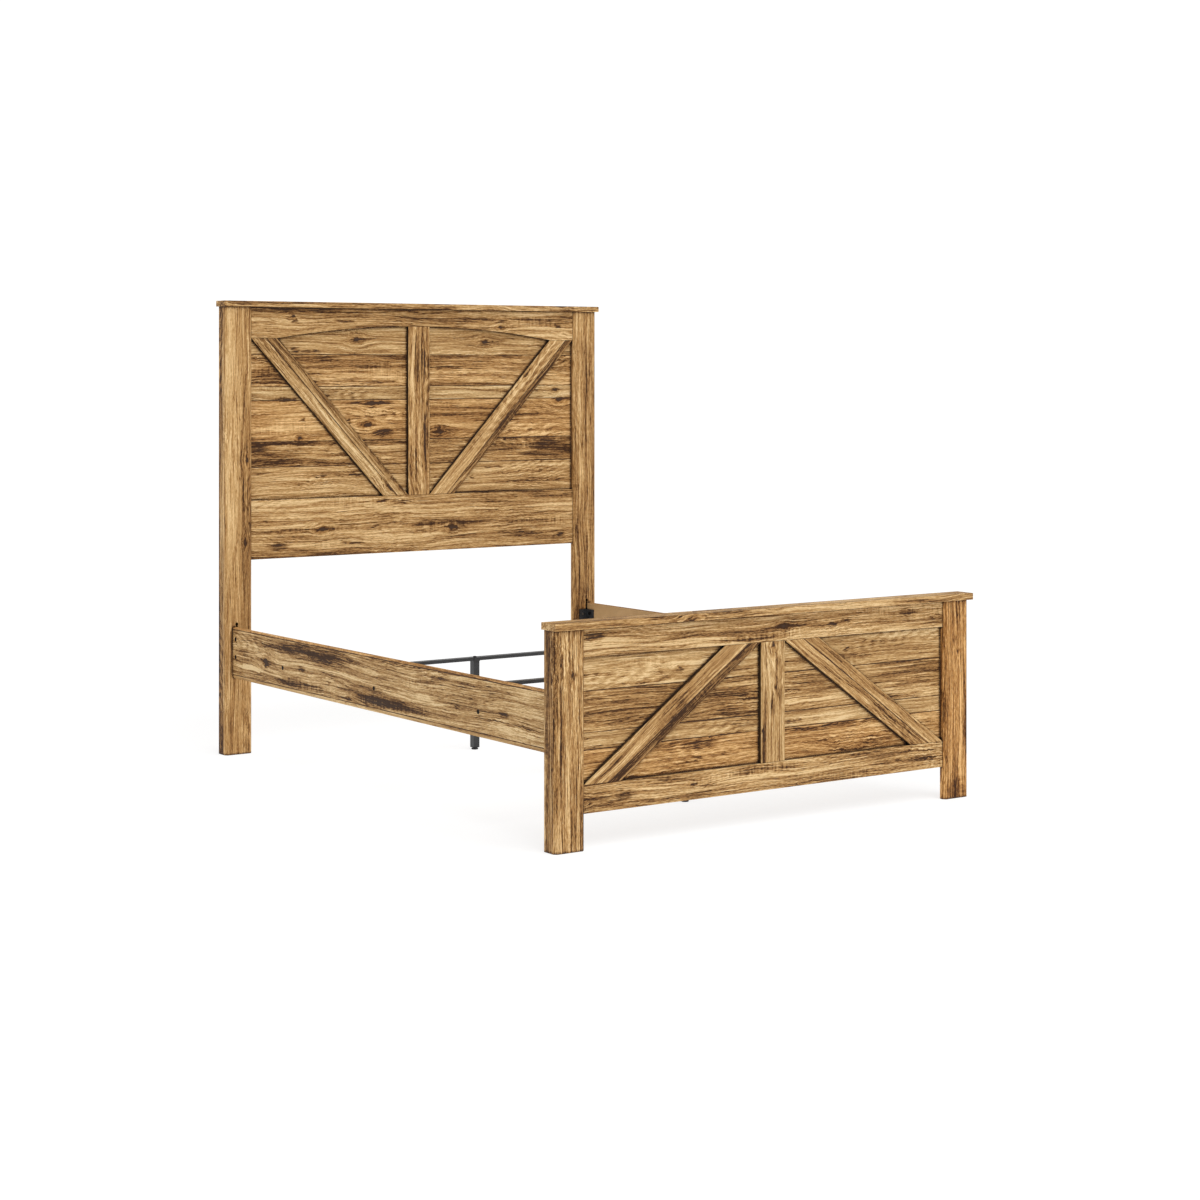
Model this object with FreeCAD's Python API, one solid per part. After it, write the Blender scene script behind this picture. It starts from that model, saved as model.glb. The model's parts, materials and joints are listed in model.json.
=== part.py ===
import FreeCAD, Part

import math
import os

# A farmhouse bed frame for a queen mattress: a tall headboard with an arched top rail and two
# diagonal braces, a low footboard with the braces the other way up, two side rails that hook into
# the posts, and three steel cross supports, each with a centre leg and a screw-in levelling glide.
# Millimetres. +X across the bed, +Y towards the headboard, +Z up, origin on the floor under the
# middle of the whole bed. "Front" of either board is the face on its -Y side.

Vec = FreeCAD.Vector

# Whole bed
BED_WIDTH = 1640.0  # across the outer faces of the posts
BOARD_SPACING = 2143.0  # headboard front plane to footboard front plane
EASE = 0.8  # the small chamfer on every board's edges
FIT = 0.05  # how much a hole's radius exceeds the screw, pin or dowel in it
OVERRUN = 1.0  # how far a cutting shape runs on past the face that it cuts

# Layers of a head- or footboard, counted from its front plane
POST_WIDTH = 107.0
POST_DEPTH = 57.0
POST_CHAMFER = 9.0
FRONT_BOARD = 22.0  # thickness of a post's front board
SIDE_BOARD = 18.0  # thickness of a post's side board
OVERLAY = 12.0  # rails, stile and braces lie on the panel
PANEL = 15.0
BATTEN_HEIGHT = 60.0

# Headboard heights
HEAD_CAP_UNDER = 1633.5
HEAD_CAP = 21.0
HEAD_TOP_RAIL_UNDER = 1519.0
HEAD_ARCH_RISE = 49.0
HEAD_BOTTOM_RAIL = (706.5, 923.0)
HEAD_CAP_FRONT = 9.0  # how far the cap stands out in front of the post
HEAD_CAP_DEPTH = 73.0

# Footboard heights
FOOT_CAP_UNDER = 648.5
FOOT_CAP = 21.5
FOOT_TOP_RAIL_UNDER = 564.0
FOOT_BOTTOM_RAIL = (106.0, 190.0)
FOOT_CAP_FRONT = 14.0
FOOT_CAP_DEPTH = 75.0

CAP_END = 8.0  # how far a cap stands out past the side of the post
STILE_WIDTH = 95.0
BRACE_WIDTH = 80.0

# Side rails
RAIL_INSET = 27.0  # outer face of the rail, in from the outer face of the post
RAIL_THICKNESS = 16.0
RAIL_HEIGHTS = (281.0, 465.0)
RAIL_LIP = (3.0, 12.0)  # bevel along the outer bottom edge: depth, height

# Hook brackets at the rail ends
STEEL = 3.0
BRACKET_HEIGHTS = (340.0, 440.0)
BRACKET_ON_RAIL = 48.0
BRACKET_ON_POST = 38.0
RAIL_BOLT_FROM_END = 25.0
RAIL_BOLT_HEIGHTS = (359.0, 424.0)
POST_SCREW_HEIGHTS = (358.0, 422.0)
POST_SCREW_IN = 24.0  # from the rail's inner face
SLOT_WIDTH = 8.0
SLOT_HEIGHTS = (350.0, 475.0)
SLOT_EYE = 6.5  # radius of the round top of the slot
SLOT_DEPTH = 19.0
PIN_HEIGHTS = (368.0, 413.0)
PIN_RADIUS = 3.0
PIN_LENGTH = 32.0
PIN_DEPTH = 10.0  # behind the face that the rail butts against
TONGUE_LENGTH = 17.0
TONGUE_RISE = 15.0  # above the pin
TONGUE_DROP = 8.0  # below the pin
HOOK_PLAY = 0.4

# Cross supports and centre legs
SUPPORT_OFFSETS = (393.0, 1037.0, 1681.0)  # behind the headboard's front plane
SUPPORT_NAMES = ("head", "middle", "foot")
SUPPORT_WIDTH = 30.0
SUPPORT_HEIGHTS = (329.0, 341.0)
TUBE_WALL = 1.5
END_PLATE_TOP = 372.0
SUPPORT_BOLT_HEIGHT = 358.0
LEG = 25.0
LEG_BOTTOM = 11.0
SADDLE = 2.0  # steel of the saddle that carries the cross support
PLUG_FLANGE = 3.0
PLUG_DEPTH = 26.0
GLIDE_STEM = 4.0  # radius
GLIDE_FOOT = 12.5  # radius
GLIDE_FOOT_HEIGHT = 5.5
GLIDE_STEM_TOP = 32.0
GLIDE_FILLET = 2.0

# Fasteners
BOLT = 3.0  # radius of a 6 mm bolt
BOLT_HOLE = 3.3
BOLT_HEAD = (6.8, 4.0)  # radius, height
BOLT_RECESS = (7.5, 5.0)  # radius, depth of the recess in the rail
NUT = (10.0, 5.0)  # across flats, height
BOLT_PROUD = 2.0  # beyond the nut
SCREW = 2.0  # radius of a 4 mm wood screw
SCREW_HEAD = 4.0
SCREW_LENGTH = 42.0
PAN_HEAD = (4.5, 3.0)
PAN_LENGTH = 16.0
DOWEL = 4.0
DOWEL_LENGTH = 30.0
DOWEL_IN_CAP = 12.0
CARRIAGE_HEAD = (6.5, 3.5)
CARRIAGE_ROUNDING = 2.8  # fillet around the top of a carriage bolt's head
# Where screws and dowels sit, as shares of the half width between the posts or of the panel's height
BATTEN_SCREW_SPREAD = (-0.9, -0.45, 0.0, 0.45, 0.9)
BACK_BOARD_SCREW_SPREAD = (0.1, 0.5, 0.9)
DOWEL_SPREAD = (-0.75, -0.25, 0.25, 0.75)

# Worked out from the sizes above
HALF_WIDTH = BED_WIDTH / 2
INNER_POST = HALF_WIDTH - POST_WIDTH  # a post's inner edge
INNER_SIDE = HALF_WIDTH - SIDE_BOARD  # a side board's inner face
RAIL_OUT = HALF_WIDTH - RAIL_INSET
RAIL_IN = RAIL_OUT - RAIL_THICKNESS
HEAD_BACK = HEAD_CAP_DEPTH - HEAD_CAP_FRONT
HEAD_FRONT = (BOARD_SPACING + FOOT_CAP_FRONT - HEAD_BACK) / 2
FOOT_FRONT = HEAD_FRONT - BOARD_SPACING
RAIL_ENDS = (FOOT_FRONT + POST_DEPTH, HEAD_FRONT)
PANEL_FRONT = FRONT_BOARD
PANEL_BACK = FRONT_BOARD + PANEL
SIDES = {"left": -1, "right": 1}

parts = {}


def block(xs, ys, zs):
    """A box between two x, two y and two z values, each pair in any order."""
    low = Vec(min(xs), min(ys), min(zs))
    return Part.makeBox(max(xs) - low.x, max(ys) - low.y, max(zs) - low.z, low)


def eased(solid):
    """The solid with a small chamfer along every edge."""
    return solid.makeChamfer(EASE, solid.Edges)


def board(xs, ys, zs):
    return eased(block(xs, ys, zs))


def slab(outline, ys):
    """A flat piece: corner points (x, z) in the plane of the smaller y, thickened to the other y."""
    corners = [Vec(x, min(ys), z) for x, z in outline]
    face = Part.Face(Part.makePolygon(corners + corners[:1]))
    return face.extrude(Vec(0, max(ys) - min(ys), 0))


def upright(outline, zs):
    """A straight upright piece: corner points (x, y) of its section, from one z to another."""
    corners = [Vec(x, y, min(zs)) for x, y in outline]
    face = Part.Face(Part.makePolygon(corners + corners[:1]))
    return face.extrude(Vec(0, 0, max(zs) - min(zs)))


def rod(radius, start, end):
    """A round bar between two points."""
    along = end - start
    return Part.makeCylinder(radius, along.Length, start, along)


def cone(r_start, r_end, start, end):
    along = end - start
    return Part.makeCone(r_start, r_end, along.Length, start, along)


def hexagon(across_flats, start, end):
    """A hexagonal bar between two points on a line along X or Z."""
    along = end - start
    reach = across_flats / math.sqrt(3)
    first = Vec(0, reach, 0)
    second = first.cross(along).normalize() * reach
    corners = []
    for step in range(6):
        angle = math.radians(60 * step)
        corners.append(start + first * math.cos(angle) + second * math.sin(angle))
    face = Part.Face(Part.makePolygon(corners + corners[:1]))
    return face.extrude(along)


def nut(start, end):
    """A hexagon nut between two points on its axis."""
    beyond = (end - start).normalize() * OVERRUN
    hole = rod(BOLT + FIT, start - beyond, end + beyond)
    return hexagon(NUT[0], start, end).cut(hole)


def drilled(solid, cutters):
    """The solid without the space of the cutters."""
    return solid.cut(Part.makeCompound(cutters)).removeSplitter()


def post_section(side, front):
    """A post's front board seen from above: both front corners are chamfered."""
    outer, inner = side * HALF_WIDTH, side * INNER_POST
    inward = -side
    return [
        (outer, front + POST_CHAMFER),
        (outer + inward * POST_CHAMFER, front),
        (inner - inward * POST_CHAMFER, front),
        (inner, front + POST_CHAMFER),
        (inner, front + FRONT_BOARD),
        (outer, front + FRONT_BOARD),
    ]


def brace_run(rise):
    """How wide a brace's level cut is, where it climbs by rise between the post and the stile."""
    reach = INNER_POST - STILE_WIDTH / 2
    squared = BRACE_WIDTH**2
    a = rise**2 - squared
    b = 2 * squared * reach
    c = -squared * (rise**2 + reach**2)
    return (-b + math.sqrt(b * b - 4 * a * c)) / (2 * a)


def brace_outline(side, outer_z, inner_z):
    """A brace from the corner at the post to the corner at the stile, with level cuts."""
    cut = brace_run(abs(outer_z - inner_z))
    return [
        (side * INNER_POST, outer_z),
        (side * (INNER_POST - cut), outer_z),
        (side * STILE_WIDTH / 2, inner_z),
        (side * (STILE_WIDTH / 2 + cut), inner_z),
    ]


def arched_rail(front):
    """The headboard's top rail: level shoulders over the braces and a shallow arch between them."""
    shoulder = INNER_POST - brace_run(HEAD_TOP_RAIL_UNDER - HEAD_BOTTOM_RAIL[1])
    y = front + PANEL_FRONT - OVERLAY
    low, high = HEAD_TOP_RAIL_UNDER, HEAD_CAP_UNDER
    left_foot, right_foot = Vec(-shoulder, y, low), Vec(shoulder, y, low)
    corners = [
        right_foot,
        Vec(INNER_POST, y, low),
        Vec(INNER_POST, y, high),
        Vec(-INNER_POST, y, high),
        Vec(-INNER_POST, y, low),
        left_foot,
    ]
    arch = Part.Arc(left_foot, Vec(0, y, low + HEAD_ARCH_RISE), right_foot).toShape()
    outline = [Part.makeLine(a, b) for a, b in zip(corners, corners[1:])]
    face = Part.Face(Part.Wire(outline + [arch]))
    return eased(face.extrude(Vec(0, OVERLAY, 0)))


def back_screw(x, back, z, play):
    """A countersunk wood screw driven forwards from a batten's back face, or its hole with some play."""
    head_end = Vec(x, back - SCREW_HEAD + SCREW, z)
    head = cone(SCREW_HEAD + play, SCREW + play, Vec(x, back, z), head_end)
    return head.fuse(rod(SCREW + play, head_end, Vec(x, back - SCREW_LENGTH - play, z)))


def back_screw_places(low, high):
    """(x, z) of the screws along the two battens and up the two back boards."""
    batten_rows = (high - BATTEN_HEIGHT / 2, low + BATTEN_HEIGHT / 2)
    along_battens = [(share * INNER_POST, z) for share in BATTEN_SCREW_SPREAD for z in batten_rows]
    board_middle = (INNER_SIDE + INNER_POST) / 2
    board_rows = [low + share * (high - low) for share in BACK_BOARD_SCREW_SPREAD]
    return along_battens + [(side * board_middle, z) for side in SIDES.values() for z in board_rows]


def cap_dowel(x, y, cap_under, play):
    """An upright dowel between the top batten and the cap, or its hole with some play."""
    top = cap_under + DOWEL_IN_CAP
    return rod(DOWEL + play, Vec(x, y, top - DOWEL_LENGTH - play), Vec(x, y, top + play))


def make_board(name, front, cap_sizes, top_rail, bottom_rail, stile_top, brace_ends):
    """A headboard or footboard: posts, cap, panel, overlays, back battens, screws and dowels.
    cap_sizes: underside, thickness, overhang in front, depth. brace_ends: z at the post, z at the stile."""
    cap_under, cap, cap_front, cap_depth = cap_sizes
    overlay_ys = (front + PANEL_FRONT - OVERLAY, front + PANEL_FRONT)
    panel_ys = (front + PANEL_FRONT, front + PANEL_BACK)
    back = front + POST_DEPTH
    batten_ys = (front + PANEL_BACK, back)
    low = bottom_rail[0]
    top_batten = (cap_under - BATTEN_HEIGHT, cap_under)
    bottom_batten = (low, low + BATTEN_HEIGHT)
    cap_x = HALF_WIDTH + CAP_END
    cap_ys = (front - cap_front, front - cap_front + cap_depth)
    half_stile = STILE_WIDTH / 2
    stile = board((-half_stile, half_stile), overlay_ys, (bottom_rail[1], stile_top))
    made = {
        "cap": board((-cap_x, cap_x), cap_ys, (cap_under, cap_under + cap)),
        "top_rail": top_rail,
        "bottom_rail": board((-INNER_POST, INNER_POST), overlay_ys, bottom_rail),
        "stile": stile.cut(top_rail),
        "panel": board((-INNER_SIDE, INNER_SIDE), panel_ys, (low, cap_under)),
        "top_batten": board((-INNER_POST, INNER_POST), batten_ys, top_batten),
        "bottom_batten": board((-INNER_POST, INNER_POST), batten_ys, bottom_batten),
    }
    for side_name, side in SIDES.items():
        side_xs = (side * HALF_WIDTH, side * INNER_SIDE)
        side_ys = (front + FRONT_BOARD, back)
        back_xs = (side * INNER_SIDE, side * INNER_POST)
        made[f"post_{side_name}_front"] = upright(post_section(side, front), (0, cap_under))
        made[f"post_{side_name}_side"] = block(side_xs, side_ys, (0, cap_under))
        made[f"back_board_{side_name}"] = board(back_xs, batten_ys, (low, cap_under))
        made[f"brace_{side_name}"] = eased(slab(brace_outline(side, *brace_ends), overlay_ys))
    screws = [(x, back, z) for x, z in back_screw_places(low, cap_under)]
    dowels = [(x * INNER_POST, sum(batten_ys) / 2, cap_under) for x in DOWEL_SPREAD]
    holes = [back_screw(*place, FIT) for place in screws]
    holes += [cap_dowel(*place, FIT) for place in dowels]
    for piece, solid in made.items():
        parts[f"{name}_{piece}"] = drilled(solid, holes)
    parts[f"{name}_screws"] = Part.makeCompound([back_screw(*place, 0) for place in screws])
    parts[f"{name}_cap_dowels"] = Part.makeCompound([cap_dowel(*place, 0) for place in dowels])


def make_headboard():
    cap_sizes = (HEAD_CAP_UNDER, HEAD_CAP, HEAD_CAP_FRONT, HEAD_CAP_DEPTH)
    stile_top = HEAD_TOP_RAIL_UNDER + HEAD_ARCH_RISE
    brace_ends = (HEAD_TOP_RAIL_UNDER, HEAD_BOTTOM_RAIL[1])
    top_rail = arched_rail(HEAD_FRONT)
    make_board("head", HEAD_FRONT, cap_sizes, top_rail, HEAD_BOTTOM_RAIL, stile_top, brace_ends)


def make_footboard():
    cap_sizes = (FOOT_CAP_UNDER, FOOT_CAP, FOOT_CAP_FRONT, FOOT_CAP_DEPTH)
    brace_ends = (FOOT_BOTTOM_RAIL[1], FOOT_TOP_RAIL_UNDER)
    overlay_ys = (FOOT_FRONT + PANEL_FRONT - OVERLAY, FOOT_FRONT + PANEL_FRONT)
    top_rail = board((-INNER_POST, INNER_POST), overlay_ys, (FOOT_TOP_RAIL_UNDER, FOOT_CAP_UNDER))
    make_board("foot", FOOT_FRONT, cap_sizes, top_rail, FOOT_BOTTOM_RAIL, FOOT_TOP_RAIL_UNDER, brace_ends)


def make_side_rails():
    """Both side rails, with a bevel along the outer bottom edge and the holes for their bolts."""
    low = RAIL_HEIGHTS[0]
    lip_depth, lip_height = RAIL_LIP
    slope = lip_depth / lip_height
    bevel_ys = (RAIL_ENDS[0] - OVERRUN, RAIL_ENDS[1] + OVERRUN)
    for side_name, side in SIDES.items():
        outside = side * (RAIL_OUT + OVERRUN)
        bevel = [
            (side * RAIL_OUT, low + lip_height),
            (outside, low + lip_height + OVERRUN / slope),
            (outside, low - OVERRUN),
            (side * (RAIL_OUT - lip_depth - OVERRUN * slope), low - OVERRUN),
        ]
        cutters = [slab(bevel, bevel_ys)]
        for y, z in rail_bolt_places() + support_bolt_places():
            start = Vec(outside, y, z)
            cutters.append(rod(BOLT_HOLE, start, Vec(side * (RAIL_IN - OVERRUN), y, z)))
            cutters.append(rod(BOLT_RECESS[0], start, Vec(side * (RAIL_OUT - BOLT_RECESS[1]), y, z)))
        solid = board((side * RAIL_OUT, side * RAIL_IN), RAIL_ENDS, RAIL_HEIGHTS)
        parts[f"side_rail_{side_name}"] = drilled(solid, cutters)


def rail_bolt_places():
    """(y, z) of the bolts that hold the hook brackets to a rail."""
    ends = (RAIL_ENDS[0] + RAIL_BOLT_FROM_END, RAIL_ENDS[1] - RAIL_BOLT_FROM_END)
    return [(y, z) for y in ends for z in RAIL_BOLT_HEIGHTS]


def support_bolt_places():
    """(y, z) of the bolts that hold the cross supports to a rail."""
    return [(HEAD_FRONT - offset, SUPPORT_BOLT_HEIGHT) for offset in SUPPORT_OFFSETS]


def rail_bolt(side, y, z):
    """A bolt from the recess in the rail's outer face, through the rail and the steel behind it."""
    seat = RAIL_OUT - BOLT_RECESS[1]
    head = rod(BOLT_HEAD[0], Vec(side * seat, y, z), Vec(side * (seat + BOLT_HEAD[1]), y, z))
    end = RAIL_IN - STEEL - NUT[1] - BOLT_PROUD
    return head.fuse(rod(BOLT, Vec(side * seat, y, z), Vec(side * end, y, z)))


def rail_nut(side, y, z):
    start = side * (RAIL_IN - STEEL)
    return nut(Vec(start, y, z), Vec(start - side * NUT[1], y, z))


def make_rail_fasteners():
    for name, places in (("rail", rail_bolt_places()), ("support", support_bolt_places())):
        spots = [(side, y, z) for side in SIDES.values() for y, z in places]
        parts[f"{name}_bolts"] = Part.makeCompound([rail_bolt(*spot) for spot in spots])
        parts[f"{name}_nuts"] = Part.makeCompound([rail_nut(*spot) for spot in spots])


def hook_bracket(side, face, way):
    """An angle bracket at y = face: way is +1 where the post lies towards +Y, -1 towards -Y.
    Its rail flange runs on through the post's slot as two tongues, which drop over two pins."""
    flange_xs = (side * RAIL_IN, side * (RAIL_IN - STEEL))
    on_rail = block(flange_xs, (face, face - way * BRACKET_ON_RAIL), BRACKET_HEIGHTS)
    post_xs = (side * RAIL_IN, side * (RAIL_IN - BRACKET_ON_POST))
    on_post = block(post_xs, (face, face - way * STEEL), BRACKET_HEIGHTS)
    solid = on_rail.fuse(on_post)
    pin_y = face + way * PIN_DEPTH
    gap = PIN_RADIUS + HOOK_PLAY
    for z in PIN_HEIGHTS:
        tongue_ys = (face - way * OVERRUN, face + way * TONGUE_LENGTH)
        tongue = block(flange_xs, tongue_ys, (z - TONGUE_DROP, z + TONGUE_RISE))
        notch = block(flange_xs, (pin_y - gap, pin_y + gap), (z - TONGUE_DROP - OVERRUN, z))
        bend = rod(gap, Vec(flange_xs[0], pin_y, z), Vec(flange_xs[1], pin_y, z))
        solid = solid.fuse(tongue.cut(notch).cut(bend))
    holes = []
    bolt_xs = (side * (RAIL_IN + OVERRUN), side * (RAIL_IN - STEEL - OVERRUN))
    bolt_y = face - way * RAIL_BOLT_FROM_END
    for z in RAIL_BOLT_HEIGHTS:
        holes.append(rod(BOLT_HOLE, Vec(bolt_xs[0], bolt_y, z), Vec(bolt_xs[1], bolt_y, z)))
    screw_x = side * (RAIL_IN - POST_SCREW_IN)
    screw_ys = (face + way * OVERRUN, face - way * (STEEL + OVERRUN))
    for z in POST_SCREW_HEIGHTS:
        holes.append(rod(SCREW + HOOK_PLAY, Vec(screw_x, screw_ys[0], z), Vec(screw_x, screw_ys[1], z)))
    return drilled(solid.removeSplitter(), holes)


def slot_cutters(side, face, way):
    """The blind keyhole slot for a bracket's tongues, its two pin holes and its two screw holes."""
    x = side * (RAIL_IN - STEEL / 2)
    slot_ys = (face - way * OVERRUN, face + way * SLOT_DEPTH)
    half = SLOT_WIDTH / 2
    cutters = [block((x - half, x + half), slot_ys, SLOT_HEIGHTS)]
    top = SLOT_HEIGHTS[1]
    cutters.append(rod(SLOT_EYE, Vec(x, slot_ys[0], top), Vec(x, slot_ys[1], top)))
    y = face + way * PIN_DEPTH
    reach = PIN_LENGTH / 2 + FIT
    for z in PIN_HEIGHTS:
        cutters.append(rod(PIN_RADIUS + FIT, Vec(x - reach, y, z), Vec(x + reach, y, z)))
    screw_x = side * (RAIL_IN - POST_SCREW_IN)
    for z in POST_SCREW_HEIGHTS:
        end = Vec(screw_x, face + way * (PAN_LENGTH - STEEL + FIT), z)
        cutters.append(rod(SCREW + FIT, Vec(screw_x, slot_ys[0], z), end))
    return cutters


def hook_pins(side, face, way):
    x = side * (RAIL_IN - STEEL / 2)
    y = face + way * PIN_DEPTH
    reach = PIN_LENGTH / 2
    return [rod(PIN_RADIUS, Vec(x - reach, y, z), Vec(x + reach, y, z)) for z in PIN_HEIGHTS]


def post_screws(side, face, way):
    """Pan-head wood screws that lock a bracket's post flange."""
    x = side * (RAIL_IN - POST_SCREW_IN)
    screws = []
    for z in POST_SCREW_HEIGHTS:
        under_head = Vec(x, face - way * STEEL, z)
        head = rod(PAN_HEAD[0], under_head, under_head - Vec(0, way * PAN_HEAD[1], 0))
        shank = rod(SCREW, under_head, under_head + Vec(0, way * PAN_LENGTH, 0))
        screws.append(head.fuse(shank))
    return screws


def make_corners():
    """The four places where a side rail hooks into a post."""
    pins, screws = [], []
    corners = (
        ("head", RAIL_ENDS[1], 1, "head_post_{}_front"),
        ("foot", RAIL_ENDS[0], -1, "foot_back_board_{}"),
    )
    for board_name, face, way, host_name in corners:
        for side_name, side in SIDES.items():
            parts[f"hook_bracket_{board_name}_{side_name}"] = hook_bracket(side, face, way)
            pins += hook_pins(side, face, way)
            screws += post_screws(side, face, way)
            host = host_name.format(side_name)
            parts[host] = drilled(parts[host], slot_cutters(side, face, way))
    parts["hook_pins"] = Part.makeCompound(pins)
    parts["bracket_screws"] = Part.makeCompound(screws)


def cross_support(y):
    """A flat steel tube across the bed, between the plates welded to the rails."""
    half = SUPPORT_WIDTH / 2
    bore_half = half - TUBE_WALL
    reach = RAIL_IN - STEEL
    past = reach + OVERRUN
    low, high = SUPPORT_HEIGHTS
    tube = block((-reach, reach), (y - half, y + half), SUPPORT_HEIGHTS)
    bore = block((-past, past), (y - bore_half, y + bore_half), (low + TUBE_WALL, high - TUBE_WALL))
    hole = rod(BOLT_HOLE, Vec(0, y, low - OVERRUN), Vec(0, y, high + OVERRUN))
    return tube.cut(bore).cut(hole)


def end_plate(side, y):
    """The upright plate at a cross support's end, bolted to the rail."""
    half = SUPPORT_WIDTH / 2
    plate_xs = (side * RAIL_IN, side * (RAIL_IN - STEEL))
    plate = block(plate_xs, (y - half, y + half), (SUPPORT_HEIGHTS[0], END_PLATE_TOP))
    start = Vec(side * (RAIL_IN + OVERRUN), y, SUPPORT_BOLT_HEIGHT)
    end = Vec(side * (RAIL_IN - STEEL - OVERRUN), y, SUPPORT_BOLT_HEIGHT)
    return plate.cut(rod(BOLT_HOLE, start, end))


def centre_leg(y):
    """A square tube with a saddle on top, which holds the cross support between its two cheeks."""
    half = LEG / 2
    bore_half = half - TUBE_WALL
    seat, rim = SUPPORT_HEIGHTS
    under = seat - SADDLE
    tube = block((-half, half), (y - half, y + half), (LEG_BOTTOM, under))
    bore_ys = (y - bore_half, y + bore_half)
    bore = block((-bore_half, bore_half), bore_ys, (LEG_BOTTOM - OVERRUN, under))
    cheek_in = SUPPORT_WIDTH / 2
    cheek_out = cheek_in + SADDLE
    past = half + OVERRUN
    saddle = block((-half, half), (y - cheek_out, y + cheek_out), (under, rim))
    channel = block((-past, past), (y - cheek_in, y + cheek_in), (seat, rim + OVERRUN))
    hole = rod(BOLT_HOLE, Vec(0, y, under - OVERRUN), Vec(0, y, seat + OVERRUN))
    return tube.cut(bore).fuse(saddle.cut(channel)).cut(hole).removeSplitter()


def leg_bolt(y):
    """A round-headed bolt down through the cross support and the saddle."""
    top = SUPPORT_HEIGHTS[1]
    head_radius, head_height = CARRIAGE_HEAD
    head = rod(head_radius, Vec(0, y, top), Vec(0, y, top + head_height))
    rim = [edge for edge in head.Edges if edge.BoundBox.ZMin > top]
    head = head.makeFillet(CARRIAGE_ROUNDING, rim)
    end = SUPPORT_HEIGHTS[0] - SADDLE - NUT[1] - BOLT_PROUD
    return head.fuse(rod(BOLT, Vec(0, y, end), Vec(0, y, top)))


def leg_nut(y):
    top = SUPPORT_HEIGHTS[0] - SADDLE
    return nut(Vec(0, y, top - NUT[1]), Vec(0, y, top))


def leg_plug(y):
    """The plastic plug in a leg's lower end, threaded for the glide."""
    half = LEG / 2
    inner = half - TUBE_WALL - FIT
    top = LEG_BOTTOM + PLUG_DEPTH
    flange = block((-half, half), (y - half, y + half), (LEG_BOTTOM - PLUG_FLANGE, LEG_BOTTOM))
    core = block((-inner, inner), (y - inner, y + inner), (LEG_BOTTOM, top))
    hole = rod(GLIDE_STEM + FIT, Vec(0, y, 0), Vec(0, y, top + OVERRUN))
    return flange.fuse(core).cut(hole).removeSplitter()


def levelling_glide(y):
    """A round foot on a threaded stem, which screws in and out of the plug."""
    foot = rod(GLIDE_FOOT, Vec(0, y, 0), Vec(0, y, GLIDE_FOOT_HEIGHT))
    rims = [edge for edge in foot.Edges if len(edge.Vertexes) == 1]
    stem = rod(GLIDE_STEM, Vec(0, y, GLIDE_FOOT_HEIGHT / 2), Vec(0, y, GLIDE_STEM_TOP))
    return foot.makeFillet(GLIDE_FILLET, rims).fuse(stem)


def make_supports():
    """Three cross supports, each with a centre leg and its levelling glide."""
    rows = [HEAD_FRONT - offset for offset in SUPPORT_OFFSETS]
    for name, y in zip(SUPPORT_NAMES, rows):
        parts[f"cross_support_{name}"] = cross_support(y)
        parts[f"centre_leg_{name}"] = centre_leg(y)
        parts[f"levelling_glide_{name}"] = levelling_glide(y)
    plates = [end_plate(side, y) for side in SIDES.values() for y in rows]
    parts["support_end_plates"] = Part.makeCompound(plates)
    parts["leg_plugs"] = Part.makeCompound([leg_plug(y) for y in rows])
    parts["leg_bolts"] = Part.makeCompound([leg_bolt(y) for y in rows])
    parts["leg_nuts"] = Part.makeCompound([leg_nut(y) for y in rows])


make_headboard()
make_footboard()
make_side_rails()
make_rail_fasteners()
make_corners()
make_supports()

os.makedirs("parts", exist_ok=True)
for node, shape in parts.items():
    shape.exportStep(f"parts/{node}.step")
print(len(parts), "nodes")
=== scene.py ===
import json
import math

import bpy
from mathutils import Matrix, Vector


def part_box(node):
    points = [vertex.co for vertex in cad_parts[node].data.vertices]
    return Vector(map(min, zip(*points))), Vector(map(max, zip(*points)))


# A farmhouse bed frame in rustic printed board, with black steel hardware, in a plain white studio.
# Metres. +X across the bed, +Y towards the headboard, +Z up. The CAD parts keep their own shapes
# here: this script gives every one its material, and adds the floor, the light and the camera.

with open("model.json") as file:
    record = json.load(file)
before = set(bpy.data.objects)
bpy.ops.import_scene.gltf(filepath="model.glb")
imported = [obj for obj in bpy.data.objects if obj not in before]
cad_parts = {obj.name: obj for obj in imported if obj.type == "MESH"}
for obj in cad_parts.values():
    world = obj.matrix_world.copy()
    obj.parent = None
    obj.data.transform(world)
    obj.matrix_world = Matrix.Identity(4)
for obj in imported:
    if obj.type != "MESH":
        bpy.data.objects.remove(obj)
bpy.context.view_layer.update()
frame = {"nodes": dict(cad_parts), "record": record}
nodes = frame["nodes"]

ACROSS_BED = Vector((1, 0, 0))
ALONG_BED = Vector((0, 1, 0))
UP = Vector((0, 0, 1))

# Colours of the wood print by tone, from its darkest cracks at 0 to its palest fibres at 1, in
# sRGB bytes
WOOD_TONES = (
    (0.00, (66, 42, 23)),
    (0.08, (98, 66, 36)),
    (0.20, (132, 94, 54)),
    (0.38, (163, 122, 73)),
    (0.56, (184, 144, 92)),
    (0.74, (203, 165, 111)),
    (0.90, (220, 184, 130)),
    (1.00, (240, 209, 158)),
)
WEATHERED_AND_SHADE_GREY = (0.10, 0.085, 0.072, 1.0)  # what the darkest wood, weathered or in painted shade, is mixed towards, linear
GREYED = (0.4, 1.0, 0.0, 0.2)  # where that starts and is full, and how much of it then
ORANGE_TINT = (1.10, 0.92, 0.72, 1.0)  # multiplies the warmer planks, linear
HOLE_SHADE_BLACK = (0.006, 0.006, 0.006, 1.0)  # painted shade: black inside bolt recesses and slots, linear
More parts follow.
